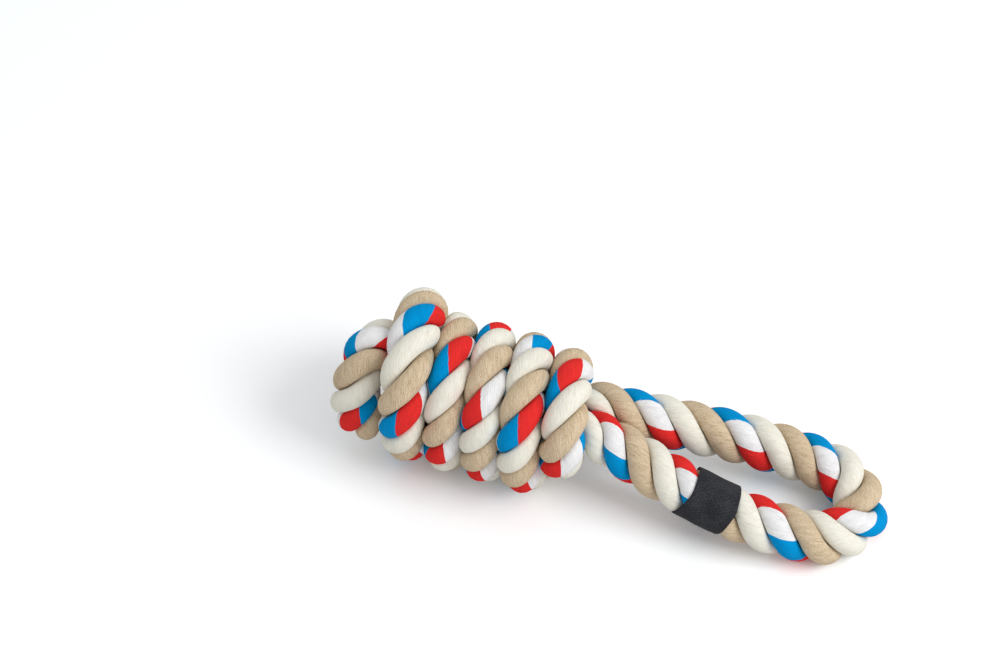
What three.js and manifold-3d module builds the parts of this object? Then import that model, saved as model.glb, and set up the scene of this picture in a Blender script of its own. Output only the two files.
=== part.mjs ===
// Rope dog toy. One length of three-strand cotton rope is doubled into a handle loop.
// It then turns back through its own core and winds round it into a fat knot.
// A cloth band is sewn round the near leg of the handle.
// Millimetres, +Z up. X runs along the toy, from the knot on the left to the handle loop.
import * as THREE from 'three';
import Module from 'manifold-3d';

// Rope
const ropeDiameter = 29;
const freeStrandShare = 0.42;
const tightStrandShare = 0.36;
const strandNames = ['cream', 'tricolour', 'beige'];

// The places on the rope's route are counted in this unit.
const routeUnit = 1;

// Knot: a winding of the rope round three runs of its own core
const wrapPitch = 22.4;
const wrapRadius = 29.8;
const firstWrapX = 44.4;
const firstWrapDrop = 3.2;
const firstWrapTurn = 0.07;
const lastWrapTurn = 4.33;
const droppedTurns = 0.8;
const wrapPointsPerTurn = 24;
const coreRadius = 9.8;

// How far each wrap's near side leans towards the handle, and where round the knot
const wrapLeans = [3, 1.8, 3.4, 5.5, 4.5];
const leanTurn = 0.14;

// The last wrap stands proud of the others from this turn on.
const proudTurn = 3.85;
const proudTurns = 0.4;
const proudRise = 7;
const proudLean = 2.5;

// Clearances, and how deep the resting rope is pressed flat
const strandGap = 0.45;
const stretchGap = 0.3;
const flatDepthShare = 0.1;
const flatDepth = flatDepthShare * ropeDiameter;

// Cloth band on the near leg, and the whippings on the two cut ends
const bandWidth = 28;
const bandThickness = 1.1;
const bandClearance = 0.3;
const bandStation = 84;
const whippingLength = 7;
const whippingThickness = 0.5;
const whippingInset = 1.5;

// Fineness of the faceted tubes
const routeStep = 1;
const strandSides = 6;
const stepsPerLay = 8;
const coreStepsPerLay = 6;
const bandSides = 24;
const bandSteps = 4;
const whippingSides = 18;
const curveDivisions = 24;
const leastRingStepShare = 0.05;
const leastRingStep = leastRingStepShare * ropeDiameter;
const easingShare = 0.083;
const easingWindow = easingShare * ropeDiameter;

// Heights over the floor follow from the winding
const wrapOuterRadius = wrapRadius + ropeDiameter / 2;
const axisHeight = wrapOuterRadius - flatDepth;

// How full the rope is along its route, as shares of its free diameter, and how far
// it is squashed along X. The core is packed tight, and the wraps press on each other.
const freeShare = 1;
const wrapShare = 0.96;
const coreShare = 0.6;
const endShare = 0.5;
const rootShare = 0.85;
const openingShare = 0.97;
const bightShare = 0.97;
const turnShare = 0.8;
const wrapSquashShare = 0.83;
const bightSquashShare = 0.95;
const noSquashShare = 1;

function route(x, y, z, fullShare, squashShare = noSquashShare) {
	return { point: new THREE.Vector3(x, y, z), fullShare, squashShare };
}

// A hand-laid place on the route, from the middle of the knot's axis
function laid(x, y, z, fullShare, squashShare) {
	return route(x * routeUnit, y * routeUnit, z * routeUnit, fullShare, squashShare);
}

// A place in the core, at an angle round the axis: 0 is the near side, 90 the top.
function inCore(x, degrees, fullShare = coreShare) {
	const angle = THREE.MathUtils.degToRad(degrees);
	const y = -coreRadius * Math.cos(angle);
	const z = coreRadius * Math.sin(angle);
	return route(x * routeUnit, y, z, fullShare);
}

// The wraps rise on the near side and move away from the handle as they go.
function onWrap(turn) {
	const angle = turn * 2 * Math.PI;
	const early = THREE.MathUtils.smoothstep(1 - turn, 0, droppedTurns);
	const proud = THREE.MathUtils.smoothstep(turn, proudTurn, proudTurn + proudTurns);
	const radius = wrapRadius - firstWrapDrop * early + proudRise * proud;
	const before = Math.min(Math.floor(turn), wrapLeans.length - 1);
	const after = Math.min(before + 1, wrapLeans.length - 1);
	const lean = THREE.MathUtils.lerp(wrapLeans[before], wrapLeans[after], turn - before);
	const leaning = lean * routeUnit * Math.cos((turn - leanTurn) * 2 * Math.PI);
	const x = firstWrapX - wrapPitch * turn + leaning + proudLean * proud;
	const y = -radius * Math.cos(angle);
	const z = radius * Math.sin(angle);
	return route(x, y, z, wrapShare, THREE.MathUtils.lerp(wrapSquashShare, noSquashShare, proud));
}

function wraps() {
	const count = Math.round((lastWrapTurn - firstWrapTurn) * wrapPointsPerTurn);
	const points = [];
	for (let i = 0; i <= count; i += 1) {
		points.push(onWrap(THREE.MathUtils.lerp(firstWrapTurn, lastWrapTurn, i / count)));
	}
	return points;
}

// The route of the rope's centre line, stretch by stretch
const stretches = [
	{
		name: 'near_leg_tail',
		inner: true,
		points: [inCore(8, 30, endShare), inCore(24, 34, endShare), inCore(40, 42)],
	},
	{
		name: 'near_leg',
		points: [
			laid(52.6, -4.5, 5.3, rootShare),
			laid(66.5, -4.7, -0.4, openingShare),
			laid(84.2, -7.1, -6.4, freeShare),
			laid(104, -10.6, -11.5, freeShare),
			laid(126, -13.3, -16.4, freeShare),
			laid(148, -14.2, -20.7, freeShare),
			laid(168, -12.7, -24.3, freeShare),
		],
	},
	{
		name: 'handle_bend',
		resting: true,
		points: [
			laid(188, -7.8, -27.2, freeShare),
			laid(199.2, 2.8, -27.8, freeShare),
			laid(203.6, 14.1, -27.7, freeShare),
			laid(197.5, 27, -26.5, freeShare),
			laid(186.8, 35.2, -24.3, freeShare),
		],
	},
	{
		name: 'far_leg',
		points: [
			laid(171, 37.6, -22.8, freeShare),
			laid(150.5, 36.2, -19.1, freeShare),
			laid(128.3, 33.3, -14.9, freeShare),
			laid(106, 28, -10.3, freeShare),
			laid(84, 22.4, -5, freeShare),
			laid(66, 17.4, -0.1, openingShare),
			laid(52, 14.5, 4.6, rootShare),
		],
	},
	{
		name: 'far_leg_core',
		inner: true,
		points: [
			inCore(37, 150),
			inCore(22, 148),
			inCore(5, 128),
			inCore(-12, 105),
			inCore(-28, 94),
		],
	},
	{
		name: 'end_bight',
		tight: true,
		points: [
			laid(-44, 0.8, 10.5, coreShare),
			laid(-53, 2, 13, coreShare),
			laid(-59.7, 1.8, 21, turnShare),
			laid(-65.2, -3.2, 24.8, bightShare),
			laid(-68.7, -9.8, 24.7, bightShare, bightSquashShare),
			laid(-71, -16.8, 20.8, bightShare, bightSquashShare),
			laid(-72.4, -22.4, 12.6, bightShare, bightSquashShare),
			laid(-73.2, -25, 3, bightShare, bightSquashShare),
			laid(-72, -24.3, -7, bightShare, bightSquashShare),
			laid(-69, -20.3, -14.6, bightShare),
			laid(-65, -15.8, -16.8, turnShare),
			laid(-56.5, -12, -13.8, coreShare),
			laid(-49, -9.5, -9, coreShare),
		],
	},
	{
		name: 'return_run',
		inner: true,
		points: [
			inCore(-40, -30),
			inCore(-28, -31),
			inCore(-14, -38),
			inCore(3, -64),
			inCore(19, -87),
			inCore(29, -90),
			laid(36, -1.2, -10.8, coreShare),
			laid(40.4, -5.8, -11.6, coreShare),
			laid(42.5, -11.2, -10.4, turnShare),
			laid(43.4, -16.2, -7.2, turnShare),
			laid(43.9, -20.4, -2.4, openingShare, wrapSquashShare),
			laid(44.7, -23.3, 3.8, openingShare, wrapSquashShare),
		],
	},
	{
		name: 'winding',
		tight: true,
		resting: true,
		points: wraps(),
	},
	{
		name: 'tucked_tail',
		tight: true,
		inner: true,
		points: [
			laid(-53.5, 23.2, 26.8, wrapShare),
			laid(-58.2, 28.2, 19, turnShare),
			laid(-61.2, 29, 10.5, turnShare),
			laid(-62.2, 26.2, 2, turnShare),
			laid(-60, 21, -4, turnShare),
			laid(-55, 15.5, -6.5, coreShare),
			laid(-48, 11.2, -6.2, coreShare),
			inCore(-40, -150),
			inCore(-24, -150, endShare),
			inCore(-10, -150, endShare),
		],
	},
];

// The strands' turns round the rope, counted at shares of the stretches. In the winding
// the share is a count of wraps.
const turnCounts = [
	['near_leg_tail', 0, -0.94],
	['near_leg', 0, -0.1],
	['near_leg', 0.17, 0.45],
	['near_leg', 0.41, 1.11],
	['near_leg', 1, 2.77],
	['handle_bend', 0.36, 3.39],
	['handle_bend', 1, 4.28],
	['far_leg', 0.21, 4.91],
	['far_leg', 0.58, 5.91],
	['far_leg', 1, 7.08],
	['end_bight', 0.4, 9.72],
	['end_bight', 0.6, 10.36],
	['winding', 0.06, 14.47],
	['winding', 0.15, 15.17],
	['winding', 0.3, 15.86],
	['winding', 0.9, 18.79],
	['winding', 1.05, 19.67],
	['winding', 1.25, 20.9],
	['winding', 1.9, 23.91],
	['winding', 2.07, 24.79],
	['winding', 2.25, 25.8],
	['winding', 2.9, 28.76],
	['winding', 3.07, 29.58],
	['winding', 3.3, 30.72],
	['winding', 3.95, 33.68],
	['winding', 4.08, 34.32],
	['winding', 4.33, 35.6],
	['tucked_tail', 1, 37.3],
];

// Colours and finishes
const strandColours = { cream: 0xe8e4d2, tricolour: 0xd8372f, beige: 0xcdb9a0 };
const bandColour = 0x2d2d30;
const whippingColour = 0xd8d2c0;
const cottonRoughness = 0.95;
const bandRoughness = 0.8;

function matte(name, color, roughness) {
	return new THREE.MeshStandardMaterial({ name, color, roughness, metalness: 0 });
}

// The whole centre line as a list of stations at even distances along the rope
function layRope() {
	const controls = stretches.flatMap((stretch) => stretch.points.map((place) => {
		return { ...place, strandShare: stretch.tight ? tightStrandShare : freeStrandShare };
	}));
	const curve = new THREE.CatmullRomCurve3(controls.map((control) => control.point));
	curve.arcLengthDivisions = controls.length * curveDivisions;
	const lengths = curve.getLengths();
	const total = lengths[lengths.length - 1];
	const controlStations = controls.map((control, i) => {
		return lengths[Math.round((i / (controls.length - 1)) * curve.arcLengthDivisions)];
	});
	const count = Math.round(total / routeStep);
	const stations = [];
	let section = 0;
	for (let i = 0; i <= count; i += 1) {
		const s = (i / count) * total;
		while (section < controls.length - 2 && s > controlStations[section + 1]) section += 1;
		const span = controlStations[section + 1] - controlStations[section];
		const share = THREE.MathUtils.clamp((s - controlStations[section]) / span, 0, 1);
		const before = controls[section];
		const after = controls[section + 1];
		stations.push({
			s,
			centre: curve.getPointAt(i / count),
			tangent: curve.getTangentAt(i / count),
			fullShare: THREE.MathUtils.lerp(before.fullShare, after.fullShare, share),
			squashShare: THREE.MathUtils.lerp(before.squashShare, after.squashShare, share),
			strandShare: THREE.MathUtils.lerp(before.strandShare, after.strandShare, share),
		});
	}
	return { stations, controlStations, total };
}

const rope = layRope();
const centreLine = rope.stations.map((station) => station.centre);

// A normal carried along the centre line without any twist of its own
function carryNormals(line) {
	let normal = new THREE.Vector3(0, 0, 1).projectOnPlane(line[0].tangent).normalize();
	for (const station of line) {
		normal = normal.clone().projectOnPlane(station.tangent).normalize();
		station.normal = normal;
		station.binormal = new THREE.Vector3().crossVectors(station.tangent, normal);
	}
}

carryNormals(rope.stations);

// Where each stretch starts and ends along the rope, half way between its neighbours' points
function placeStretches() {
	let first = 0;
	let start = 0;
	stretches.forEach((stretch, i) => {
		const last = first + stretch.points.length - 1;
		stretch.firstPointStation = rope.controlStations[first];
		stretch.lastPointStation = rope.controlStations[last];
		stretch.start = start;
		const isLast = i === stretches.length - 1;
		const next = rope.controlStations[last + 1];
		stretch.end = isLast ? rope.total : (rope.controlStations[last] + next) / 2;
		start = stretch.end;
		first = last + 1;
	});
}

placeStretches();

function stretchNamed(name) {
	return stretches.find((stretch) => stretch.name === name);
}

// The strands' turns at every station, straight lines between the marks
const marks = turnCounts.map(([name, share, turns]) => {
	const stretch = stretchNamed(name);
	if (name !== 'winding') return [THREE.MathUtils.lerp(stretch.start, stretch.end, share), turns];
	const wound = (share - firstWrapTurn) / (lastWrapTurn - firstWrapTurn);
	return [THREE.MathUtils.lerp(stretch.firstPointStation, stretch.lastPointStation, wound), turns];
});

function betweenMarks(value, from, to) {
	let i = 1;
	while (i < marks.length - 1 && value > marks[i][from]) i += 1;
	const [before, after] = [marks[i - 1], marks[i]];
	const share = (value - before[from]) / (after[from] - before[from]);
	return THREE.MathUtils.lerp(before[to], after[to], share);
}

const turnsAt = (s) => betweenMarks(s, 0, 1);
const stationWhereTurns = (turns) => betweenMarks(turns, 1, 0);

// A point on a strand's own centre line: round the rope's centre, squashed along X
function strandCentre(station, strand) {
	const turns = turnsAt(station.s) - strand / strandNames.length;
	const angle = turns * 2 * Math.PI;
	const half = (station.fullShare * ropeDiameter) / 2;
	const strandRadius = half * station.strandShare;
	const offset = new THREE.Vector3()
		.addScaledVector(station.normal, Math.cos(angle))
		.addScaledVector(station.binormal, Math.sin(angle))
		.multiplyScalar(half - strandRadius);
	const squashed = half * station.squashShare - strandRadius * Math.sqrt(station.squashShare);
	offset.x *= squashed / (half - strandRadius);
	return offset.add(station.centre);
}

const strandLines = strandNames.map((name, strand) => {
	return rope.stations.map((station) => strandCentre(station, strand));
});

// Each strand swells until it meets its neighbours: its radius at a station is what the
// least distance to any other strand, or to another pass of itself, leaves free.
function measureStrands() {
	const reach = ropeDiameter;
	const cells = new Map();
	const keyOf = (i, j, k) => `${i},${j},${k}`;
	const cellOf = (point) => point.toArray().map((value) => Math.floor(value / reach));
	strandLines.forEach((line, strand) => {
		line.forEach((point, i) => {
			const key = keyOf(...cellOf(point));
			if (!cells.has(key)) cells.set(key, []);
			cells.get(key).push({ point, strand, i });
		});
	});
	const ownReach = ropeDiameter / routeStep;
	return strandLines.map((line, strand) => line.map((point, i) => {
		const [cx, cy, cz] = cellOf(point);
		let nearest = reach;
		for (let dx = -1; dx <= 1; dx += 1) {
			for (let dy = -1; dy <= 1; dy += 1) {
				for (let dz = -1; dz <= 1; dz += 1) {
					for (const other of cells.get(keyOf(cx + dx, cy + dy, cz + dz)) ?? []) {
						const own = other.strand === strand && Math.abs(other.i - i) < ownReach;
						if (!own) nearest = Math.min(nearest, point.distanceTo(other.point));
					}
				}
			}
		}
		return nearest;
	}));
}

const freeDistances = measureStrands();
const radiusWindow = Math.round(easingWindow / routeStep);

// The radius is eased along the strand and never passes the free distance nearby.
function strandRadii(strand) {
	const limits = rope.stations.map((station, i) => {
		const full = (station.fullShare * ropeDiameter * station.strandShare) / 2;
		const room = (freeDistances[strand][i] - strandGap) / 2;
		return Math.min(full, room);
	});
	const windowOf = (list, i) => list.slice(Math.max(i - radiusWindow, 0), i + radiusWindow + 1);
	const lowest = limits.map((limit, i) => Math.min(...windowOf(limits, i)));
	return lowest.map((limit, i) => {
		const nearby = windowOf(lowest, i);
		return nearby.reduce((sum, value) => sum + value, 0) / nearby.length;
	});
}

const radii = strandNames.map((name, strand) => strandRadii(strand));

function alongList(list, s) {
	const place = THREE.MathUtils.clamp((s / rope.total) * (list.length - 1), 0, list.length - 1);
	const i = Math.min(Math.floor(place), list.length - 2);
	return { before: list[i], after: list[i + 1], share: place - i };
}

function numberAt(list, s) {
	const { before, after, share } = alongList(list, s);
	return THREE.MathUtils.lerp(before, after, share);
}

function pointAt(list, s) {
	const { before, after, share } = alongList(list, s);
	return before.clone().lerp(after, share);
}

function geometryOf(points, index) {
	const geometry = new THREE.BufferGeometry();
	const positions = points.flatMap((point) => point.toArray());
	geometry.setAttribute('position', new THREE.Float32BufferAttribute(positions, 3));
	geometry.setIndex(index);
	geometry.computeVertexNormals();
	return geometry;
}

// A closed tube through rings of points, with flat ends
function tubeOf(rings) {
	const sides = rings[0].length;
	const index = [];
	for (let ring = 0; ring < rings.length - 1; ring += 1) {
		for (let side = 0; side < sides; side += 1) {
			const a = ring * sides + side;
			const b = ring * sides + ((side + 1) % sides);
			index.push(a, b, a + sides, b, b + sides, a + sides);
		}
	}
	const last = (rings.length - 1) * sides;
	for (let side = 1; side < sides - 1; side += 1) {
		index.push(0, side + 1, side);
		index.push(last, last + side, last + side + 1);
	}
	return geometryOf(rings.flat(), index);
}

function ringAround(centre, normal, tangent, radius, sides) {
	const side = new THREE.Vector3().crossVectors(tangent, normal);
	return Array.from({ length: sides }, (unused, i) => {
		const angle = (i / sides) * 2 * Math.PI;
		return centre.clone()
			.addScaledVector(normal, radius * Math.cos(angle))
			.addScaledVector(side, radius * Math.sin(angle));
	});
}

// Stations of a stretch's rings: its two ends, and even shares of a turn between them
function ringStations(stretch) {
	const steps = stretch.inner ? coreStepsPerLay : stepsPerLay;
	const start = stretch.start + (stretch.start > 0 ? stretchGap / 2 : 0);
	const end = stretch.end - (stretch.end < rope.total ? stretchGap / 2 : 0);
	const list = [start];
	let step = Math.ceil(turnsAt(start) * steps);
	while (stationWhereTurns(step / steps) < end - leastRingStep) {
		const s = stationWhereTurns(step / steps);
		if (s > start + leastRingStep) list.push(s);
		step += 1;
	}
	list.push(end);
	return list;
}

function strandTube(stretch, strand) {
	const line = strandLines[strand];
	let normal = null;
	const rings = ringStations(stretch).map((s) => {
		const centre = pointAt(line, s);
		const ahead = pointAt(line, Math.min(s + routeStep, rope.total));
		const behind = pointAt(line, Math.max(s - routeStep, 0));
		const tangent = ahead.sub(behind).normalize();
		if (!normal) normal = centre.clone().sub(pointAt(centreLine, s));
		normal = normal.clone().projectOnPlane(tangent).normalize();
		return ringAround(centre, normal, tangent, numberAt(radii[strand], s), strandSides);
	});
	return tubeOf(rings);
}

// An open sleeve round the rope: outer rings along it, then inner rings back
function sleeve(start, end, steps, innerRadius, thickness, sides) {
	const outer = [];
	const inner = [];
	for (let i = 0; i <= steps; i += 1) {
		const s = THREE.MathUtils.lerp(start, end, i / steps);
		const { normal, tangent } = alongList(rope.stations, s).before;
		const centre = pointAt(centreLine, s);
		outer.push(ringAround(centre, normal, tangent, innerRadius + thickness, sides));
		inner.push(ringAround(centre, normal, tangent, innerRadius, sides));
	}
	const rings = [...outer, ...inner.reverse()];
	const index = [];
	rings.forEach((ring, r) => {
		const next = (r + 1) % rings.length;
		for (let side = 0; side < sides; side += 1) {
			const a = r * sides + side;
			const b = r * sides + ((side + 1) % sides);
			const c = next * sides + side;
			const d = next * sides + ((side + 1) % sides);
			index.push(a, b, c, b, d, c);
		}
	});
	return geometryOf(rings.flat(), index);
}

const wasm = await Module();
wasm.setup();

function toSolid(geometry) {
	return new wasm.Manifold(new wasm.Mesh({
		numProp: 3,
		vertProperties: new Float32Array(geometry.attributes.position.array),
		triVerts: new Uint32Array(geometry.index.array),
	}));
}

function fromSolid(solid) {
	const mesh = solid.getMesh();
	const geometry = new THREE.BufferGeometry();
	geometry.setAttribute('position', new THREE.BufferAttribute(mesh.vertProperties, 3));
	geometry.setIndex(new THREE.BufferAttribute(mesh.triVerts, 1));
	geometry.computeVertexNormals();
	return geometry;
}

// What rests is pressed flat on the floor.
function pressFlat(geometry) {
	const floor = wasm.Manifold.cube([rope.total, rope.total, ropeDiameter], true)
		.translate([0, 0, -axisHeight - ropeDiameter / 2]);
	return fromSolid(toSolid(geometry).subtract(floor));
}

// The finished toy, raised so that it rests on the floor
const toy = new THREE.Group();
toy.name = 'rope_toy';

function addPiece(name, geometry, material) {
	const mesh = new THREE.Mesh(geometry, material);
	mesh.name = name;
	mesh.position.z = axisHeight;
	toy.add(mesh);
}

for (const stretch of stretches) {
	strandNames.forEach((strandName, strand) => {
		const name = `${stretch.name}_${strandName}`;
		const tube = strandTube(stretch, strand);
		const geometry = stretch.resting ? pressFlat(tube) : tube;
		addPiece(name, geometry, matte(name, strandColours[strandName], cottonRoughness));
	});
}

const bandStart = stretchNamed('near_leg').start + bandStation - bandWidth / 2;
const bandInner = ropeDiameter / 2 + bandClearance;
const band = sleeve(bandStart, bandStart + bandWidth, bandSteps, bandInner, bandThickness, bandSides);
addPiece('label_band', band, matte('label_band', bandColour, bandRoughness));

function whipping(name, start) {
	const inner = (endShare * ropeDiameter) / 2 + bandClearance;
	const geometry = sleeve(start, start + whippingLength, 1, inner, whippingThickness, whippingSides);
	addPiece(name, geometry, matte(name, whippingColour, cottonRoughness));
}

whipping('near_end_whipping', whippingInset);
whipping('tail_end_whipping', rope.total - whippingInset - whippingLength);

// The least gap of the unbroken winding to itself and to its neighbours
function leastGap(from, to) {
	let least = Infinity;
	strandLines.forEach((line, strand) => {
		rope.stations.forEach((station, i) => {
			if (station.s < from || station.s > to) return;
			least = Math.min(least, freeDistances[strand][i] - 2 * radii[strand][i]);
		});
	});
	return least;
}

const winding = stretchNamed('winding');
console.log('least gap round the winding', leastGap(winding.start, winding.end).toFixed(2));
console.log('least strand radius', Math.min(...radii.flat()).toFixed(2));
console.log('rope length', rope.total.toFixed(1));

// The origin is on the floor, under the middle of the toy
const box = new THREE.Box3().setFromObject(toy);
toy.position.x = -(box.min.x + box.max.x) / 2;
toy.position.y = -(box.min.y + box.max.y) / 2;
toy.position.z = -box.min.z;

export default toy;
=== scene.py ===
import math

import bpy
import numpy as np
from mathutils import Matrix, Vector


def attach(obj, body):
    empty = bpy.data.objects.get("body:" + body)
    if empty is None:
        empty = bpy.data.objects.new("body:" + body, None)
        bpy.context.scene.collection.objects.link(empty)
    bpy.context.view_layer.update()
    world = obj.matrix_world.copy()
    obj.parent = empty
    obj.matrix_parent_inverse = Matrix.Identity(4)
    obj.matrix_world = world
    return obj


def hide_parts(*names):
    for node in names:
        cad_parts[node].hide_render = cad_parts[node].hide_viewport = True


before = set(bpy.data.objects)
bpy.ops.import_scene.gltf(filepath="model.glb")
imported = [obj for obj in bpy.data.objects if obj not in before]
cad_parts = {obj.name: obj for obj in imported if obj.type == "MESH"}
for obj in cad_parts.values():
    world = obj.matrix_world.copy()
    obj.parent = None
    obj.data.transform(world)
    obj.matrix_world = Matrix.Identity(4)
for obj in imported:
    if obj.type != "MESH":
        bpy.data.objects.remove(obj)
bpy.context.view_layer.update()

# Rope dog toy: a doubled handle of three-strand cotton rope and a fat coil knot.
# Metres, +Z up, +X along the toy from the knot to the handle.

# Camera: the photograph's viewing angle
PHOTO_WIDTH = 1000
SENSOR_WIDTH = 36
FOCAL_PIXELS = 1800
CAMERA_TURN = math.radians(19.55)
CAMERA_ELEVATION = math.radians(48)
CAMERA_DISTANCE = 1.0742
AIM = Vector((-0.092687, 0.080176, 0.0023))
CLIP_NEAR, CLIP_FAR = 0.01, 100

# The knot's axis in the row frame: the route below is measured from it
KNOT_PLACE = np.array((-0.065345, -0.002664, 0.0414))

# Rope
ROPE_RADIUS = 0.0145
STRANDS = ("cream", "tricolour", "beige")
WRAP_PITCH = 0.0224
WRAP_RADIUS = 0.0298
FIRST_WRAP_DROP = 0.0032
FIRST_WRAP_X = 0.0444
FIRST_WRAP_TURN = 0.07
LAST_WRAP_TURN = 4.33
# How far each wrap's near side leans towards the handle
WRAP_LEANS = (0.003, 0.0018, 0.0034, 0.0055, 0.0045)
LEAN_SHIFT = 0.14
LAST_WRAP_RISE = 0.0102
LAST_WRAP_LEAN = 0.0012
FIRST_WRAP_EASE = 0.8
LAST_WRAP_START = 3.85
LAST_WRAP_EASE = 0.4
WRAP_POINTS_PER_TURN = 24
CORE_RADIUS = 0.0098

# How full the rope is along its route, and how far it is squashed along X
FREE, CORE, END, ROOT, OPENING, BIGHT, TURN = 1, 0.6, 0.5, 0.85, 0.97, 0.97, 0.8
WRAP = 0.96
ROUND, WRAP_SQUASH, BIGHT_SQUASH = 1, 0.83, 0.95

# Cloth band: a woven tape taken once round the near leg. Its two ends are sewn face to
# face and stand out as a fin at the underside, and it has slipped a little askew.
BAND_CENTRE = 0.1202
BAND_WIDTH = 0.0248
BAND_THICKNESS = 0.0008
BAND_RADIUS = 0.01425
BAND_ROOT = 0.001
BAND_FIN = 0.0035
BAND_FIN_TURN = math.radians(12)
# How far it has slipped along the rope, by the angle round it in degrees
BAND_SKEWS = (
    (0, 0),
    (40, -0.0008),
    (80, 0.0018),
    (130, 0.0044),
    (175, 0.003),
    (220, 0.0008),
    (300, -0.0005),
    (360, 0),
)
SKEW_PASSES = 12
# How far it dips between the strands, and how much more at its edges
BAND_DIP = 0.0004
EDGE_DIP = 3
EDGE_DIP_POWER = 4
BAND_ROWS = 23
SECTION_ARC_POINTS = 110
SECTION_FIN_POINTS = 10
SECTION_POINTS = 150
SECTION_PASSES = 3
FIN_APART_SHARE = 0.51
FIN_FROM_SHARE = 0.9
STITCH_PITCH = 0.0024
STITCH_RADIUS = 0.00018
STITCH_LIFT = 0.00008
STITCH_HEIGHT_SHARE = 0.45
STITCH_REACH_SHARE = 0.32
STITCH_POINTS = 5

# Whippings: twine wound round the two cut ends
TWINE_RADIUS = 0.00045
TWINE_PITCH = 0.00095
TWINE_POINTS_PER_TURN = 32
WHIPPING_INSET = 0.0015
WHIPPING_LENGTH = 0.007

# The band and the whippings grip the rope: its share of the free diameter under them
BAND_GRIP = 0.945
WHIPPING_GRIP = 0.93
GRIP_EASE = 0.006

# Strand sections: how far a strand's middle sits from the rope's, and its own radius
STRAND_OFFSET = 0.53
STRAND_REACH = 0.475
CONTACT_GAP = 0.00006
CONTACT_ROUNDING = 9
RING_STEP = 0.0012
LINE_STEP = 0.001
RING_SIDES = 48
POINTS_PER_SECTION = 24
REACH_PASSES = 3
# A neighbour counts within this many strand radii
NEIGHBOUR_RADII = 4
# Where nothing stands in a strand's way, and the least values that are divided by
NO_LIMIT = 1
LEAST_FACING = 1e-7
LEAST_DOWN = 1e-3
LEAST_REACH = 1e-4
# The share of its bend's radius that a strand may fill on the inner side
BEND_SHARE = 0.9

# Thin tubes, with their ends drawn in and a direction that none of them starts along
TUBE_SIDES = 8
TUBE_END_SHIFT = 0.7
TUBE_END_SHARE = 0.55
TUBE_HINT = (0.3, 0.5, 0.8)


def place(x, y, z, full, squash=ROUND):
    return (x, y, z, full, squash)


# A place in the core, at an angle round the axis: 0 is the near side, 90 the top.
def in_core(x, degrees, full=CORE):
    angle = math.radians(degrees)
    return place(x, -CORE_RADIUS * math.cos(angle), CORE_RADIUS * math.sin(angle), full)


def ease(share):
    share = min(max(share, 0), 1)
    return share * share * (3 - 2 * share)


# The wraps rise on the near side and move away from the handle as they go.
def wraps():
    count = round((LAST_WRAP_TURN - FIRST_WRAP_TURN) * WRAP_POINTS_PER_TURN)
    points = []
    for turn in np.linspace(FIRST_WRAP_TURN, LAST_WRAP_TURN, count + 1):
        angle = turn * 2 * math.pi
        early = ease((1 - turn) / FIRST_WRAP_EASE)
        late = ease((turn - LAST_WRAP_START) / LAST_WRAP_EASE)
        radius = WRAP_RADIUS - FIRST_WRAP_DROP * early + LAST_WRAP_RISE * late
        lean = np.interp(turn, range(len(WRAP_LEANS)), WRAP_LEANS)
        lean = lean * math.cos((turn - LEAN_SHIFT) * 2 * math.pi) + LAST_WRAP_LEAN * late
        y, z = -radius * math.cos(angle), radius * math.sin(angle)
        squash = WRAP_SQUASH + (ROUND - WRAP_SQUASH) * late
        points.append(place(FIRST_WRAP_X - WRAP_PITCH * turn + lean, y, z, WRAP, squash))
    return points


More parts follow.
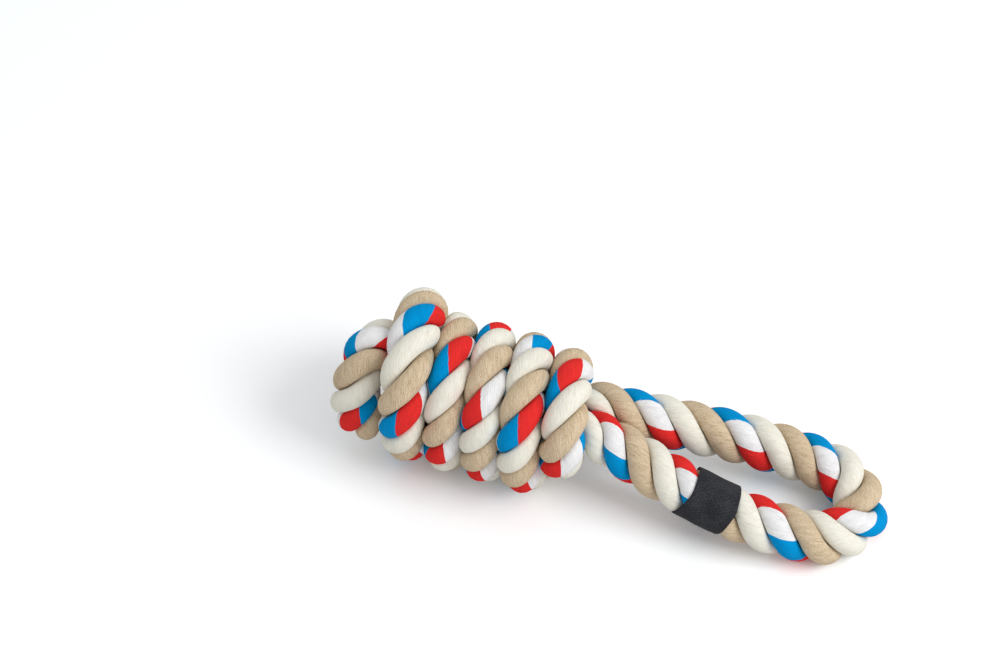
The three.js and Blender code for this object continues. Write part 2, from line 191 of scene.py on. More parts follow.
# The route of the rope's centre line, stretch by stretch
ROUTE = {
    "near_leg_tail": [in_core(0.008, 30, END), in_core(0.024, 34, END), in_core(0.04, 42)],
    "near_leg": [
        place(0.0526, -0.0045, 0.0053, ROOT),
        place(0.0665, -0.0047, -0.0004, OPENING),
        place(0.0842, -0.0071, -0.0064, FREE),
        place(0.104, -0.0106, -0.0115, FREE),
        place(0.126, -0.0133, -0.0164, FREE),
        place(0.148, -0.0142, -0.0207, FREE),
        place(0.168, -0.0127, -0.0243, FREE),
    ],
    "handle_bend": [
        place(0.188, -0.0078, -0.0272, FREE),
        place(0.1992, 0.0028, -0.0278, FREE),
        place(0.2036, 0.0141, -0.0277, FREE),
        place(0.1975, 0.027, -0.0265, FREE),
        place(0.1868, 0.0352, -0.0243, FREE),
    ],
    "far_leg": [
        place(0.171, 0.0376, -0.0228, FREE),
        place(0.1505, 0.0362, -0.0191, FREE),
        place(0.1283, 0.0333, -0.0149, FREE),
        place(0.106, 0.028, -0.0103, FREE),
        place(0.084, 0.0224, -0.005, FREE),
        place(0.066, 0.0174, -0.0001, OPENING),
        place(0.052, 0.0145, 0.0046, ROOT),
    ],
    "far_leg_core": [
        in_core(0.037, 150),
        in_core(0.022, 148),
        in_core(0.005, 128),
        in_core(-0.012, 105),
        in_core(-0.028, 94),
    ],
    "end_bight": [
        place(-0.044, 0.0008, 0.0105, CORE),
        place(-0.053, 0.002, 0.013, CORE),
        place(-0.0597, 0.0018, 0.0232, TURN),
        place(-0.0652, -0.0032, 0.0285, BIGHT),
        place(-0.0687, -0.0098, 0.0278, BIGHT, BIGHT_SQUASH),
        place(-0.071, -0.0168, 0.0222, BIGHT, BIGHT_SQUASH),
        place(-0.0724, -0.0224, 0.0126, BIGHT, BIGHT_SQUASH),
        place(-0.0732, -0.025, 0.003, BIGHT, BIGHT_SQUASH),
        place(-0.072, -0.0243, -0.007, BIGHT, BIGHT_SQUASH),
        place(-0.069, -0.0203, -0.0146, BIGHT),
        place(-0.065, -0.0158, -0.0168, TURN),
        place(-0.0565, -0.012, -0.0138, CORE),
        place(-0.049, -0.0095, -0.009, CORE),
    ],
    "return_run": [
        in_core(-0.04, -30),
        in_core(-0.028, -31),
        in_core(-0.014, -38),
        in_core(0.003, -64),
        in_core(0.019, -87),
        in_core(0.029, -90),
        place(0.036, -0.0012, -0.0108, CORE),
        place(0.0404, -0.0058, -0.0116, CORE),
        place(0.0425, -0.0112, -0.0104, TURN),
        place(0.0434, -0.0162, -0.0072, TURN),
        place(0.0439, -0.0204, -0.0024, OPENING, WRAP_SQUASH),
        place(0.0447, -0.0233, 0.0038, OPENING, WRAP_SQUASH),
    ],
    "winding": wraps(),
    "tucked_tail": [
        place(-0.0505, 0.025, 0.0298, WRAP),
        place(-0.0535, 0.0298, 0.0208, TURN),
        place(-0.0565, 0.029, 0.0105, TURN),
        place(-0.059, 0.0262, 0.002, TURN),
        place(-0.0585, 0.021, -0.004, TURN),
        place(-0.055, 0.0155, -0.0065, CORE),
        place(-0.048, 0.0112, -0.0062, CORE),
        in_core(-0.04, -150),
        in_core(-0.024, -150, END),
        in_core(-0.01, -150, END),
    ],
}

# The strands' turns round the rope, counted at shares of the stretches; in the winding
# the share is a count of wraps.
TURN_COUNTS = (
    ("near_leg_tail", 0, -0.94),
    ("near_leg", 0, -0.1),
    ("near_leg", 0.17, 0.45),
    ("near_leg", 0.41, 1.11),
    ("near_leg", 1, 2.77),
    ("handle_bend", 0.36, 3.39),
    ("handle_bend", 1, 4.28),
    ("far_leg", 0.21, 4.91),
    ("far_leg", 0.58, 5.91),
    ("far_leg", 1, 7.08),
    ("end_bight", 0.225, 9.07),
    ("end_bight", 0.31, 9.39),
    ("end_bight", 0.402, 9.72),
    ("end_bight", 0.55, 10.07),
    ("end_bight", 0.635, 10.36),
    ("winding", 0.03, 14.52),
    ("winding", 0.09, 14.86),
    ("winding", 0.17, 15.19),
    ("winding", 0.258, 15.53),
    ("winding", 0.33, 15.86),
    ("winding", 0.845, 18.7),
    ("winding", 0.964, 19.335),
    ("winding", 1.031, 19.66),
    ("winding", 1.117, 19.995),
    ("winding", 1.197, 20.33),
    ("winding", 1.271, 20.67),
    ("winding", 1.86, 23.84),
    ("winding", 1.918, 24.11),
    ("winding", 1.985, 24.44),
    ("winding", 2.055, 24.77),
    ("winding", 2.158, 25.13),
    ("winding", 2.233, 25.44),
    ("winding", 2.298, 25.77),
    ("winding", 2.888, 28.88),
    ("winding", 2.967, 29.21),
    ("winding", 3.043, 29.54),
    ("winding", 3.134, 29.87),
    ("winding", 3.222, 30.21),
    ("winding", 3.315, 30.54),
    ("winding", 3.912, 33.68),
    ("winding", 3.98, 34.0),
    ("winding", 4.057, 34.33),
    ("winding", 4.164, 34.67),
    ("winding", 4.249, 35.0),
    ("winding", 4.315, 35.32),
    ("tucked_tail", 0.1, 35.85),
    ("tucked_tail", 1, 37.6),
)

# Each strand's yarns turn round it against its own turns round the rope, which lays them
# along the rope. The colours move by YARN_TWIST for each turn, a third of a unit is one
# colour, and SPREAD of a unit goes round the strand, so that three broad colours show at a
# time. The colours are moved further by these amounts, at the same kind of places.
YARN_TWIST = 2
SPREAD = 0.7
COLOUR_TURNS = (
    ("near_leg_tail", 0, -0.33),
    ("near_leg", 1, -0.33),
    ("handle_bend", 0.36, -0.29),
    ("handle_bend", 1, -0.05),
    ("far_leg", 1, -0.08),
    ("end_bight", 0.35, -0.5),
    ("end_bight", 0.6, 0.3),
    ("winding", 0.03, 0.22),
    ("winding", 0.258, 0.12),
    ("winding", 0.845, -0.14),
    ("winding", 1.031, -0.34),
    ("winding", 1.271, -0.61),
    ("winding", 1.86, -0.25),
    ("winding", 2.055, -0.18),
    ("winding", 2.298, -0.41),
    ("winding", 2.888, -0.48),
    ("winding", 3.134, -0.7),
    ("winding", 3.98, -0.97),
    ("winding", 4.249, -1.18),
)


def lengths_along(points):
    steps = np.linalg.norm(np.diff(points, axis=0), axis=1)
    return np.concatenate([[0], np.cumsum(steps)])


def unit(vectors):
    return vectors / np.linalg.norm(vectors, axis=-1, keepdims=True)


# A smooth curve through all control points, with many points in each section
def smooth_curve(controls, per_section):
    before = 2 * controls[0] - controls[1]
    after = 2 * controls[-1] - controls[-2]
    padded = np.vstack([before, controls, after])
    share = np.linspace(0, 1, per_section, endpoint=False)[:, None]
    sections = []
    for i in range(len(controls) - 1):
        p0, p1, p2, p3 = padded[i:i + 4]
        pairs = ((p0, p1), (p1, p2), (p2, p3))
        d0, d1, d2 = [math.sqrt(np.linalg.norm(b - a)) for a, b in pairs]
        start = ((p1 - p0) / d0 - (p2 - p0) / (d0 + d1) + (p2 - p1) / d1) * d1
        end = ((p2 - p1) / d1 - (p3 - p1) / (d1 + d2) + (p3 - p2) / d2) * d1
        bend = -3 * p1 + 3 * p2 - 2 * start - end
        twist = 2 * p1 - 2 * p2 + start + end
        sections.append(p1 + start * share + bend * share ** 2 + twist * share ** 3)
    sections.append(controls[-1:])
    return np.vstack(sections)


class Rope:
    """The rope's centre line at even stations, with its frame, fullness and turns."""

    def __init__(self):
        rows = [row for points in ROUTE.values() for row in points]
        controls = np.array([row[:3] for row in rows]) + KNOT_PLACE
        curve = smooth_curve(controls, POINTS_PER_SECTION)
        along = lengths_along(curve)
        control_s = along[::POINTS_PER_SECTION]
        self.length = along[-1]
        self.s = np.linspace(0, self.length, round(self.length / LINE_STEP) + 1)
        self.centre = np.stack([np.interp(self.s, along, curve[:, k]) for k in range(3)], 1)
        self.tangent = unit(np.gradient(self.centre, self.s, axis=0))
        self.full = np.interp(self.s, control_s, [row[3] for row in rows])
        self.squash = np.interp(self.s, control_s, [row[4] for row in rows])
        self.near_whipping = WHIPPING_INSET + WHIPPING_LENGTH / 2
        self.tail_whipping = self.length - self.near_whipping
        self.grip(BAND_CENTRE, BAND_WIDTH, BAND_GRIP)
        self.grip(self.near_whipping, WHIPPING_LENGTH, WHIPPING_GRIP)
        self.grip(self.tail_whipping, WHIPPING_LENGTH, WHIPPING_GRIP)
        self.carry_normals()
        self.place_stretches(control_s)
        self.turns = self.between_marks(TURN_COUNTS, self.s)

    def grip(self, centre, width, share):
        inside = (width / 2 + GRIP_EASE - np.abs(self.s - centre)) / GRIP_EASE
        inside = np.clip(inside, 0, 1)
        self.full = self.full * (1 - (1 - share) * inside * inside * (3 - 2 * inside))

    def carry_normals(self):
        normal = np.array((0.0, 0.0, 1.0))
        normals = []
        for tangent in self.tangent:
            normal = normal - (normal @ tangent) * tangent
            normal = normal / np.linalg.norm(normal)
            normals.append(normal)
        self.normal = np.array(normals)
        self.binormal = np.cross(self.tangent, self.normal)

    def place_stretches(self, control_s):
        self.start, self.end, self.first, self.last = {}, {}, {}, {}
        first, start = 0, 0
        for name, points in ROUTE.items():
            last = first + len(points) - 1
            end = self.length
            if last + 1 < len(control_s):
                end = (control_s[last] + control_s[last + 1]) / 2
            self.start[name], self.end[name] = start, end
            self.first[name], self.last[name] = control_s[first], control_s[last]
            start, first = end, last + 1

    def station(self, stretch, share):
        if stretch == "winding":
            first, last = self.first[stretch], self.last[stretch]
            share = (share - FIRST_WRAP_TURN) / (LAST_WRAP_TURN - FIRST_WRAP_TURN)
        else:
            first, last = self.start[stretch], self.end[stretch]
        return first + share * (last - first)

    def between_marks(self, marks, stations):
        places = [self.station(stretch, share) for stretch, share, _ in marks]
        return np.interp(stations, places, [mark[2] for mark in marks])

    def strand_line(self, strand):
        angle = (self.turns - strand / len(STRANDS)) * 2 * math.pi
        half = self.full * ROPE_RADIUS
        offset = self.normal * np.cos(angle)[:, None] + self.binormal * np.sin(angle)[:, None]
        offset = offset * (half * STRAND_OFFSET)[:, None]
        radius = half * STRAND_REACH
        squashed = half * self.squash - radius * np.sqrt(self.squash)
        offset[:, 0] *= squashed / (half - radius)
        return self.centre + offset


def add_camera():
    data = bpy.data.cameras.new("camera")
    data.sensor_width = SENSOR_WIDTH
    data.lens = FOCAL_PIXELS * SENSOR_WIDTH / PHOTO_WIDTH
    data.clip_start, data.clip_end = CLIP_NEAR, CLIP_FAR
    camera = bpy.data.objects.new("camera", data)
    level = math.cos(CAMERA_ELEVATION)
    back = Vector((
        math.sin(CAMERA_TURN) * level,
        -math.cos(CAMERA_TURN) * level,
        math.sin(CAMERA_ELEVATION),
    ))
    camera.location = AIM + back * CAMERA_DISTANCE
    camera.rotation_euler = back.to_track_quat("Z", "Y").to_euler()
    bpy.context.scene.collection.objects.link(camera)
    bpy.context.scene.camera = camera


add_camera()
rope = Rope()
strand_lines = [rope.strand_line(strand) for strand in range(len(STRANDS))]


def at_stations(values, stations):
    if values.ndim == 1:
        return np.interp(stations, rope.s, values)
    return np.stack([np.interp(stations, rope.s, column) for column in values.T], 1)


def smooth_along(values, passes):
    for _ in range(passes):
        inner = (values[:-2] + 2 * values[1:-1] + values[2:]) / 4
        values = np.concatenate([values[:1], inner, values[-1:]])
    return values


# Each strand swells until it meets its neighbours: along every ray from its middle it
# ends half way to the nearest strand, on the floor, or at its own full radius.
def strand_rings(strand):
    stations = np.linspace(0, rope.length, round(rope.length / RING_STEP) + 1)
    line = strand_lines[strand]
    centres = at_stations(line, stations)
    tangents = unit(np.gradient(centres, axis=0))
    outward = centres - at_stations(rope.centre, stations)
    outward = unit(outward - (outward * tangents).sum(1)[:, None] * tangents)
    sideways = np.cross(tangents, outward)
    along = lengths_along(centres)
    curving = np.gradient(tangents, along, axis=0)
    full = at_stations(rope.full, stations) * ROPE_RADIUS * STRAND_REACH
    others = np.vstack(strand_lines)
    owner = np.repeat(np.arange(len(STRANDS)), len(rope.s))
    station_of = np.tile(rope.s, len(STRANDS))
    angles = np.linspace(-math.pi, math.pi, RING_SIDES, endpoint=False)
    cosines, sines = np.cos(angles)[:, None], np.sin(angles)[:, None]
    look = NEIGHBOUR_RADII * ROPE_RADIUS * STRAND_REACH
    near_self = 2 * ROPE_RADIUS
    reach = np.empty((len(stations), RING_SIDES))
    for i, centre in enumerate(centres):
        rays = outward[i] * cosines + sideways[i] * sines
        gaps = others - centre
        squares = (gaps * gaps).sum(1)
        near = squares < look ** 2
        near &= (owner != strand) | (np.abs(station_of - stations[i]) > near_self)
        facing = rays @ gaps[near].T
        half_way = squares[near] / np.maximum(2 * facing, LEAST_FACING)
        half_way = np.where(facing > LEAST_FACING, half_way, NO_LIMIT)
        limit = half_way.min(1, initial=NO_LIMIT) - CONTACT_GAP
        bend = rays @ curving[i]
        limit = np.minimum(limit, BEND_SHARE / np.maximum(bend, BEND_SHARE))
        down = -rays[:, 2]
        limit = np.minimum(limit, centre[2] / np.maximum(down, LEAST_DOWN))
        limit = np.maximum(limit, LEAST_REACH)
        power = -CONTACT_ROUNDING
        reach[i] = (full[i] ** power + limit ** power) ** (1 / power)
    reach = smooth_along(reach, REACH_PASSES)
    spread = cosines[None] * outward[:, None] + sines[None] * sideways[:, None]
    rings = centres[:, None] + reach[:, :, None] * spread
    rings[:, :, 2] = np.maximum(rings[:, :, 2], 0)
    return stations, centres, rings, along


def strand_mesh(name, strand):
    stations, centres, rings, along = strand_rings(strand)
    count, sides = rings.shape[:2]
    points = np.vstack([rings.reshape(-1, 3), centres[:1], centres[-1:]])
    ring, side = np.meshgrid(np.arange(count - 1), np.arange(sides), indexing="ij")
    following = (side + 1) % sides
    quads = np.stack([
        ring * sides + side,
        ring * sides + following,
        (ring + 1) * sides + following,
        (ring + 1) * sides + side,
    ], -1).reshape(-1, 4)
    spin = YARN_TWIST * at_stations(rope.turns, stations)
    spin = spin + rope.between_marks(COLOUR_TURNS, stations)
    first = SPREAD * (side / sides - 0.5)
    second = SPREAD * ((side + 1) / sides - 0.5)
    around = np.stack([
        first + spin[ring],
        second + spin[ring],
        second + spin[ring + 1],
        first + spin[ring + 1],
    ], -1)
    along_uv = np.stack([along[ring], along[ring], along[ring + 1], along[ring + 1]], -1)
    uvs = np.stack([around, along_uv], -1).reshape(-1, 2)
    start, end = count * sides, count * sides + 1
    last = (count - 1) * sides
    caps = [(start, (j + 1) % sides, j) for j in range(sides)]
    caps += [(end, last + j, last + (j + 1) % sides) for j in range(sides)]
    mesh = bpy.data.meshes.new(name)
    mesh.from_pydata(points.tolist(), [], quads.tolist() + caps)
    layer = mesh.uv_layers.new(name="yarn")
    flat = np.concatenate([uvs, np.zeros((len(caps) * 3, 2))])
    layer.data.foreach_set("uv", flat.astype(np.float32).ravel())
    mesh.polygons.foreach_set("use_smooth", np.ones(len(mesh.polygons), bool))
    piece = bpy.data.objects.new(name, mesh)
    bpy.context.scene.collection.objects.link(piece)
    return piece, centres


STRETCHES = list(ROUTE)
strand_pieces = {}
for strand, colour in enumerate(STRANDS):
    piece, path = strand_mesh(f"{colour}_strand", strand)
    strand_pieces[colour] = piece
    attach(piece, "root")
    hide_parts(*[f"{stretch}_{colour}" for stretch in STRETCHES])


# Closed tubes along paths, all in one mesh, with an even radius and rounded ends
def tubes(name, paths, radius):
    sides = TUBE_SIDES
    points, faces = [], []
    for path in paths:
        path = np.asarray(path)
        tangents = unit(np.gradient(path, axis=0))
        normal = unit(np.cross(tangents[0], TUBE_HINT))
        shift = TUBE_END_SHIFT * radius
        rows = [(0, -shift, TUBE_END_SHARE)]
        rows += [(i, 0, 1) for i in range(len(path))]
        rows += [(len(path) - 1, shift, TUBE_END_SHARE)]
        first = len(points)
        for i, shift, share in rows:
            normal = unit(normal - (normal @ tangents[i]) * tangents[i])
            side = np.cross(tangents[i], normal)
            middle = path[i] + tangents[i] * shift
            for k in range(sides):
                angle = 2 * math.pi * k / sides
                spoke = normal * math.cos(angle) + side * math.sin(angle)
                points.append(middle + radius * share * spoke)
        for row in range(len(rows) - 1):
            for k in range(sides):
                a = first + row * sides + k
                b = first + row * sides + (k + 1) % sides
                faces.append((a, b, b + sides, a + sides))
        faces.append([first + k for k in reversed(range(sides))])
        faces.append([first + (len(rows) - 1) * sides + k for k in range(sides)])
    mesh = bpy.data.meshes.new(name)
    mesh.from_pydata([tuple(point) for point in points], [], faces)
    mesh.polygons.foreach_set("use_smooth", np.ones(len(mesh.polygons), bool))
    piece = bpy.data.objects.new(name, mesh)
    bpy.context.scene.collection.objects.link(piece)
    return piece


def whipping(name, solid, centre):
    turns = WHIPPING_LENGTH / TWINE_PITCH
    share = np.linspace(-0.5, 0.5, round(turns * TWINE_POINTS_PER_TURN))
    stations = centre + share * WHIPPING_LENGTH
    middle, normal, binormal, full = [
        at_stations(values, stations)
        for values in (rope.centre, rope.normal, rope.binormal, rope.full)
    ]
    angle = 2 * math.pi * turns * share
    radius = full * ROPE_RADIUS * (STRAND_OFFSET + STRAND_REACH) + TWINE_RADIUS
    around = normal * np.cos(angle)[:, None] + binormal * np.sin(angle)[:, None]
    path = middle + radius[:, None] * around
    piece = tubes(name, [path], TWINE_RADIUS)
    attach(piece, "root")
    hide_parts(solid)
    return piece


whippings = [
    whipping("near_end_twine", "near_end_whipping", rope.near_whipping),
    whipping("tail_end_twine", "tail_end_whipping", rope.tail_whipping),
]


# The tape's line in section, from one sewn end round the rope to the other. The first
# number runs towards the fin, and the second towards the front.
def band_section():
    radius, root = BAND_RADIUS, BAND_RADIUS + BAND_ROOT
    leave = math.acos(radius / root)
    circle = np.linspace(leave, 2 * math.pi - leave, SECTION_ARC_POINTS)
    around = np.stack([radius * np.cos(circle), radius * np.sin(circle)], 1)
    fin = np.linspace(root + BAND_FIN, root, SECTION_FIN_POINTS)
    apart = np.full(SECTION_FIN_POINTS, BAND_THICKNESS * FIN_APART_SHARE)
    near_side = np.stack([fin, apart], 1)
    far_side = np.stack([fin[::-1], -apart], 1)
    line = np.vstack([near_side, around, far_side])
    along = lengths_along(line)
    even = np.linspace(0, along[-1], SECTION_POINTS)
    line = np.stack([np.interp(even, along, line[:, k]) for k in range(2)], 1)
    return smooth_along(line, SECTION_PASSES)


def band_frame(stations):
    middle = at_stations(rope.centre, stations)
    tangent = unit(at_stations(rope.tangent, stations))
    fin = np.array((0, -math.sin(BAND_FIN_TURN), -math.cos(BAND_FIN_TURN)))
    fin = unit(fin - (tangent @ fin)[:, None] * tangent)
    return middle, fin, np.cross(fin, tangent)


def band_points(section, shares):
    turn = np.degrees(np.arctan2(section[:, 1], section[:, 0])) % 360
    fin_from = BAND_RADIUS + BAND_ROOT * FIN_FROM_SHARE
    at_fin = np.hypot(section[:, 0], section[:, 1]) > fin_from
    turn = np.where(at_fin, 0, turn)
    skew = smooth_along(np.interp(turn, *zip(*BAND_SKEWS)), SKEW_PASSES)
    rows = []
    for share in shares:
        stations = BAND_CENTRE + skew + share * BAND_WIDTH
        middle, fin, front = band_frame(stations)
        spoke = fin * section[:, :1] + front * section[:, 1:]
        outward = unit(spoke)
        crest = np.full(len(section), -1.0)
        for line in strand_lines:
            strand = unit(at_stations(line, stations) - middle)
            crest = np.maximum(crest, (strand * outward).sum(1))
        edge = 1 + EDGE_DIP * (2 * share) ** EDGE_DIP_POWER
        dip = BAND_DIP * edge * (1 - crest) * ~at_fin
        rows.append(middle + spoke - outward * dip[:, None])
    return np.array(rows)


def add_band():
    section = band_section()
    length = lengths_along(section)
    shares = np.linspace(-0.5, 0.5, BAND_ROWS)
    rows = band_points(section, shares)
    count, across = len(section), len(shares)
    row, column = np.meshgrid(np.arange(across - 1), np.arange(count - 1), indexing="ij")
    corner = row * count + column
    quads = np.stack([corner, corner + count, corner + count + 1, corner + 1], -1)
    quads = quads.reshape(-1, 4)
    mesh = bpy.data.meshes.new("label_band")
    mesh.from_pydata(rows.reshape(-1, 3).tolist(), [], quads.tolist())
    layer = mesh.uv_layers.new(name="tape")
    places = np.stack(np.meshgrid(shares * BAND_WIDTH, length, indexing="ij"), -1)
    uvs = places.reshape(-1, 2)[quads.ravel()]
    layer.data.foreach_set("uv", uvs.astype(np.float32).ravel())
    mesh.polygons.foreach_set("use_smooth", np.ones(len(mesh.polygons), bool))
    band = bpy.data.objects.new("band_tape", mesh)
    bpy.context.scene.collection.objects.link(band)
    solid = band.modifiers.new("thickness", "SOLIDIFY")
    solid.thickness = BAND_THICKNESS
    solid.offset = 0
    stitches = tubes("band_stitches", stitch_paths(), STITCH_RADIUS)
    for piece in (band, stitches):
        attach(piece, "root")
    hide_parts("label_band")
    return band, stitches


# Stitches through the fin, seen on both its sides
def stitch_paths():
    height = BAND_RADIUS + BAND_ROOT + BAND_FIN * STITCH_HEIGHT_SHARE
    aside = BAND_THICKNESS + STITCH_LIFT
    count = round(BAND_WIDTH / STITCH_PITCH)
    paths = []
    for side in (-1, 1):
        for i in range(count):
            middle_share = (i + 0.5) / count - 0.5
            reach = STITCH_REACH_SHARE / count
            shares = middle_share + reach * np.linspace(-1, 1, STITCH_POINTS)
            stations = BAND_CENTRE + shares * BAND_WIDTH
            middle, fin, front = band_frame(stations)
            paths.append(middle + fin * height + front * side * aside)
    return paths


band, stitches = add_band()


# Shader maths: a socket with operators, and one method for every other node
class Socket:
    def __init__(self, paint, output):
        self.paint = paint
        self.output = output

    def math(self, operation, *others):
        values = {i: value for i, value in enumerate((self, *others))}
        return self.paint.node("ShaderNodeMath", {"operation": operation}, values)

    def __add__(self, other):
        return self.math("ADD", other)

    __radd__ = __add__

    def __mul__(self, other):
        return self.math("MULTIPLY", other)

    __rmul__ = __mul__

    def __sub__(self, other):
        return self.math("SUBTRACT", other)

    def __rsub__(self, other):
        return self * -1 + other

    def fraction(self):
        return self.math("FRACT")

    def absolute(self):
        return self.math("ABSOLUTE")

    def power(self, exponent):
        return self.math("POWER", exponent)

    def clamped(self):
        return self.math("MAXIMUM", 0).math("MINIMUM", 1)


class Paint:
    """One material, whose nodes are added by node()."""

    def __init__(self, name):
        self.material = bpy.data.materials.new(name)
        self.material.use_nodes = True
        self.tree = self.material.node_tree
        self.shader = self.tree.nodes["Principled BSDF"]

    def set(self, socket, value):
        if isinstance(value, Socket):
            self.tree.links.new(value.output, socket)
        else:
            socket.default_value = value

    def node(self, kind, settings, values, output=0):
        made = self.tree.nodes.new(kind)
        stops = settings.pop("stops", None)
        for key, value in settings.items():
            setattr(made, key, value)
        if stops:
            ramp = made.color_ramp
            while len(ramp.elements) < len(stops):
                ramp.elements.new(1)
            for element, (position, colour) in zip(ramp.elements, stops):
                element.position = position
                element.color = colour
        for key, value in values.items():
            self.set(made.inputs[key], value)
        return Socket(self, made.outputs[output])

    def mix(self, factor, first, second, blend="MIX"):
        settings = {"data_type": "RGBA", "blend_type": blend}
        return self.node("ShaderNodeMix", settings, {0: factor, 6: first, 7: second}, 2)

    def noise(self, place, scale, detail):
        values = {"Vector": place, "Scale": scale, "Detail": detail}
        return self.node("ShaderNodeTexNoise", {}, values)

    def bump(self, strength, distance, height):
        values = {"Strength": strength, "Distance": distance, "Height": height}
        return self.node("ShaderNodeBump", {}, values)

    def position(self):
        return self.node("ShaderNodeTexCoord", {}, {}, "Object")

    def uv(self, name):
        uv = self.node("ShaderNodeUVMap", {"uv_map": name}, {})
        return [self.node("ShaderNodeSeparateXYZ", {}, {0: uv}, k) for k in range(2)]

    def finish(self, colour, roughness, bump=None, sheen=0):
        self.set(self.shader.inputs["Base Color"], colour)
        self.set(self.shader.inputs["Roughness"], roughness)
        if bump:
            self.set(self.shader.inputs["Normal"], bump)
        self.shader.inputs["Specular IOR Level"].default_value = DULLNESS
        self.shader.inputs["Sheen Weight"].default_value = sheen
        return self.material


def srgb(red, green, blue):
    def linear(value):
        value = value / 255
        return value / 12.92 if value <= 0.04045 else ((value + 0.055) / 1.055) ** 2.4
    return (linear(red), linear(green), linear(blue), 1)


DULLNESS = 0.06

# Cotton: how fine its marks are, round the strand, along it or per metre
YARNS_AROUND = 56
STREAKS_AROUND = 120
STREAKS_ALONG = 220
BLOTCH_SCALE, BLOTCH_DETAIL = 240, 4
FIBRE_SCALE, FIBRE_DETAIL = 1700, 3
STREAK_DETAIL = 4
# How far yarns wander sideways, and how frayed a colour's border is
YARN_WANDER = 0.05
BORDER_FRAY = 0.03
GROOVE_SHARPNESS = 2.5
# How much each mark darkens the colour (in the grooves this is painted shade), and how much
# it lifts the surface
GROOVE_PAINTED_SHADE, STREAK_DARK, BLOTCH_DARK, FIBRE_DARK = 0.3, 1.7, 0.3, 0.2
GROOVE_LIFT, STREAK_LIFT, FIBRE_LIFT = 0.5, 1.2, 0.3
COTTON_BUMP, COTTON_RELIEF = 0.75, 0.0005
COTTON_ROUGHNESS = 0.95


# Soft cotton: fine yarns side by side along the strand, streaks and flecks of fibre, and
# painted shade in the grooves between the yarns
def cotton(name, colour_of, shade_and_tone_tint):
    paint = Paint(name)
    around, along = paint.uv("yarn")
    position = paint.position()
    blotches = paint.noise(position, BLOTCH_SCALE, BLOTCH_DETAIL)
    fibres = paint.noise(position, FIBRE_SCALE, FIBRE_DETAIL)
    lane = around + (blotches - 0.5) * YARN_WANDER
    places = {0: lane * STREAKS_AROUND, 1: along * STREAKS_ALONG}
    streaks = paint.noise(paint.node("ShaderNodeCombineXYZ", {}, places), 1, STREAK_DETAIL)
    yarn = (lane * YARNS_AROUND).fraction()
    groove = ((yarn - 0.5).absolute() * 2).power(GROOVE_SHARPNESS)
    colour = colour_of(paint, around + (streaks - 0.5) * BORDER_FRAY, fibres, streaks)
    # Painted shade in the grooves between yarns, plus the cotton's own darker streaks,
    # blotches and fibres
    groove_shade_and_tone = groove * GROOVE_PAINTED_SHADE + (streaks - 0.5) * STREAK_DARK
    groove_shade_and_tone = groove_shade_and_tone + (blotches - 0.5) * BLOTCH_DARK + (fibres - 0.5) * FIBRE_DARK
    dark = paint.mix(1.0, colour, shade_and_tone_tint, "MULTIPLY")
    colour = paint.mix(groove_shade_and_tone.clamped(), colour, dark)
    height = (1 - groove) * GROOVE_LIFT + streaks * STREAK_LIFT + fibres * FIBRE_LIFT
    bump = paint.bump(COTTON_BUMP, COTTON_RELIEF, height)
    return paint.finish(colour, COTTON_ROUGHNESS, bump)


# Each cotton's darker tint: painted shade in the yarn grooves, and the darker tone of its
# streaks, blotches and fibres
CREAM_SHADE_AND_TONE = (0.78, 0.75, 0.67, 1)
BEIGE_SHADE_AND_TONE = (0.7, 0.66, 0.58, 1)
DYED_SHADE_AND_TONE = (0.6, 0.58, 0.62, 1)
CREAM = srgb(245, 243, 232)
CREAM_DEEP = srgb(240, 235, 217)
BEIGE = srgb(224, 204, 175)
BEIGE_DEEP = srgb(196, 172, 138)
WHITE = srgb(246, 246, 247)
BLUE = srgb(0, 151, 218)
RED = srgb(236, 52, 50)
# Cream and beige have this much of their deep colour, which starts at this threshold
CREAM_DEPTH, BEIGE_DEPTH = 2, 3
DEEP_FROM = 0.9


def plain(base, deep, share):
    def colour_of(paint, around, fibres, streaks):
        return paint.mix(((fibres + streaks - DEEP_FROM) * share).clamped(), base, deep)
    return colour_of


def three_colours(paint, around, fibres, streaks):
    stops = [(0, RED), (1 / 3, WHITE), (2 / 3, BLUE)]
    ramp = paint.node("ShaderNodeValToRGB", {"stops": stops}, {0: around.fraction()})
    paint.tree.nodes[-1].color_ramp.interpolation = "CONSTANT"
    return ramp


finishes = {
    "cream": cotton("cream_cotton", plain(CREAM, CREAM_DEEP, CREAM_DEPTH), CREAM_SHADE_AND_TONE),
    "tricolour": cotton("tricolour_cotton", three_colours, DYED_SHADE_AND_TONE),
    "beige": cotton("beige_cotton", plain(BEIGE, BEIGE_DEEP, BEIGE_DEPTH), BEIGE_SHADE_AND_TONE),
}
for colour, piece in strand_pieces.items():
    piece.data.materials.append(finishes[colour])


# Band, its thread and the twine: how fine their marks are per metre
BAND_DEEP = srgb(40, 41, 45)
BAND_PALE = srgb(76, 78, 83)
WARP_SCALE, WEFT_SCALE = 2200, 3000
SPECK_SCALE, WASH_SCALE, TAPE_DETAIL = 1100, 120, 3
# How much each mark lightens the tape; on the weave's raised threads this is a painted
# highlight
WEAVE_PAINTED_HIGHLIGHT, SPECK_LIGHT, WASH_LIGHT = 0.25, 1.1, 0.8
TAPE_BUMP, TAPE_RELIEF = 0.25, 0.00015
TAPE_ROUGHNESS, TAPE_SHEEN = 0.78, 0.04
THREAD_SCALE, THREAD_DETAIL, THREAD_ROUGHNESS = 3000, 2, 0.7
TWINE_DEEP = srgb(206, 198, 178)
TWINE_PALE = srgb(238, 232, 216)
TWINE_SCALE, TWINE_DETAIL, TWINE_ROUGHNESS = 2400, 3, 0.9
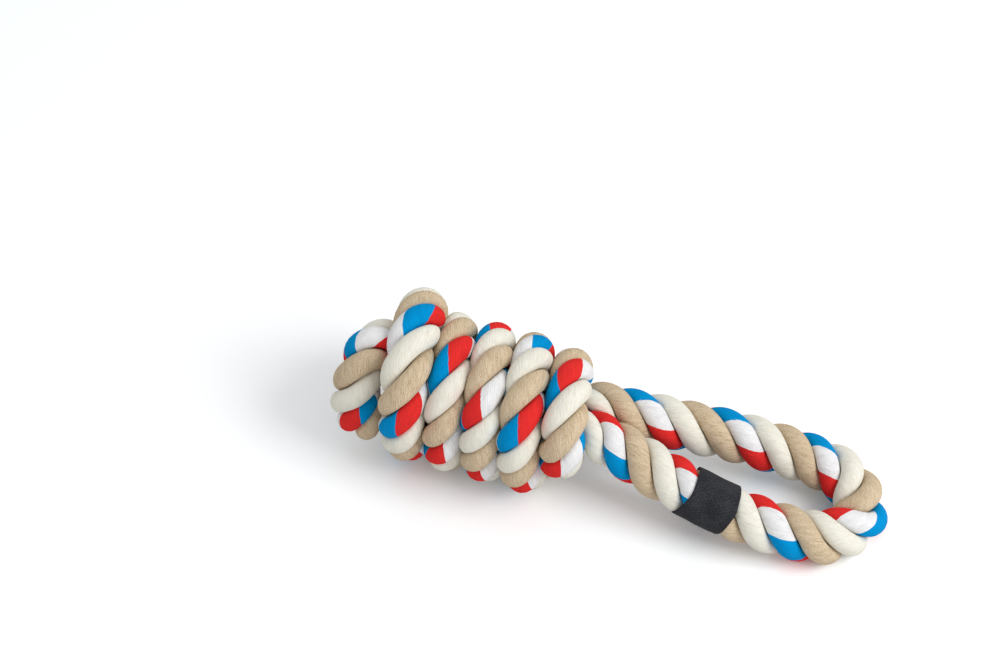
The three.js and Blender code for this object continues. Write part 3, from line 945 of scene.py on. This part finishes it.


# Fine woven tape: crossing threads with a painted highlight where they stand up, and its own
# uneven specks and wash
def woven_tape():
    paint = Paint("band_cloth")
    across, along = paint.uv("tape")
    position = paint.position()
    specks = paint.noise(position, SPECK_SCALE, TAPE_DETAIL)
    wash = paint.noise(position, WASH_SCALE, TAPE_DETAIL)
    warp = (across * WARP_SCALE).math("SINE")
    weft = (along * WEFT_SCALE).math("SINE")
    height = warp * weft * 0.5 + 0.5
    # The weave's raised threads get a painted highlight; specks and wash are the tape's own
    # uneven tone
    light = height * WEAVE_PAINTED_HIGHLIGHT + (specks - 0.5) * SPECK_LIGHT + (wash - 0.5) * WASH_LIGHT
    colour = paint.mix(light.clamped(), BAND_DEEP, BAND_PALE)
    bump = paint.bump(TAPE_BUMP, TAPE_RELIEF, height)
    return paint.finish(colour, TAPE_ROUGHNESS, bump, sheen=TAPE_SHEEN)


def speckled(name, scale, detail, deep, pale, roughness):
    paint = Paint(name)
    specks = paint.noise(paint.position(), scale, detail)
    return paint.finish(paint.mix(specks, deep, pale), roughness)


band.data.materials.append(woven_tape())
thread = speckled(
    "band_thread", THREAD_SCALE, THREAD_DETAIL, BAND_DEEP, BAND_PALE, THREAD_ROUGHNESS,
)
stitches.data.materials.append(thread)
twine = speckled(
    "whipping_twine", TWINE_SCALE, TWINE_DETAIL, TWINE_DEEP, TWINE_PALE, TWINE_ROUGHNESS,
)
for piece in whippings:
    piece.data.materials.append(twine)


# A white studio floor that keeps its shadow, under a white sky and one soft light
FLOOR_SEEN = (1.12, 1.145, 1.16, 1)
FLOOR_BOUNCE = srgb(225, 225, 225)
FLOOR_SIZE = 8
FLOOR_ROUGHNESS = 0.9
SKY_STRENGTH = 0.69
KEY_PLACE = Vector((1.3, -0.15, 1.25))
KEY_SIZE = 1.0
KEY_ENERGY = 17.5


def add_stage():
    bpy.ops.mesh.primitive_plane_add(size=FLOOR_SIZE, location=(0, 0, 0))
    floor = bpy.context.object
    floor.name = "floor"
    paint = Paint("floor")
    seen = paint.node("ShaderNodeLightPath", {}, {}, "Is Camera Ray")
    colour = paint.mix(seen, FLOOR_BOUNCE, FLOOR_SEEN)
    floor.data.materials.append(paint.finish(colour, FLOOR_ROUGHNESS))
    world = bpy.data.worlds.new("world")
    bpy.context.scene.world = world
    world.use_nodes = True
    background = world.node_tree.nodes["Background"]
    background.inputs["Color"].default_value = (1, 1, 1, 1)
    background.inputs["Strength"].default_value = SKY_STRENGTH
    data = bpy.data.lights.new("key", "AREA")
    data.shape = "RECTANGLE"
    data.size, data.size_y = KEY_SIZE, KEY_SIZE
    data.energy = KEY_ENERGY
    light = bpy.data.objects.new("key", data)
    light.location = KEY_PLACE
    light.rotation_euler = KEY_PLACE.to_track_quat("Z", "Y").to_euler()
    bpy.context.scene.collection.objects.link(light)


add_stage()
bpy.context.scene.view_settings.view_transform = "Standard"
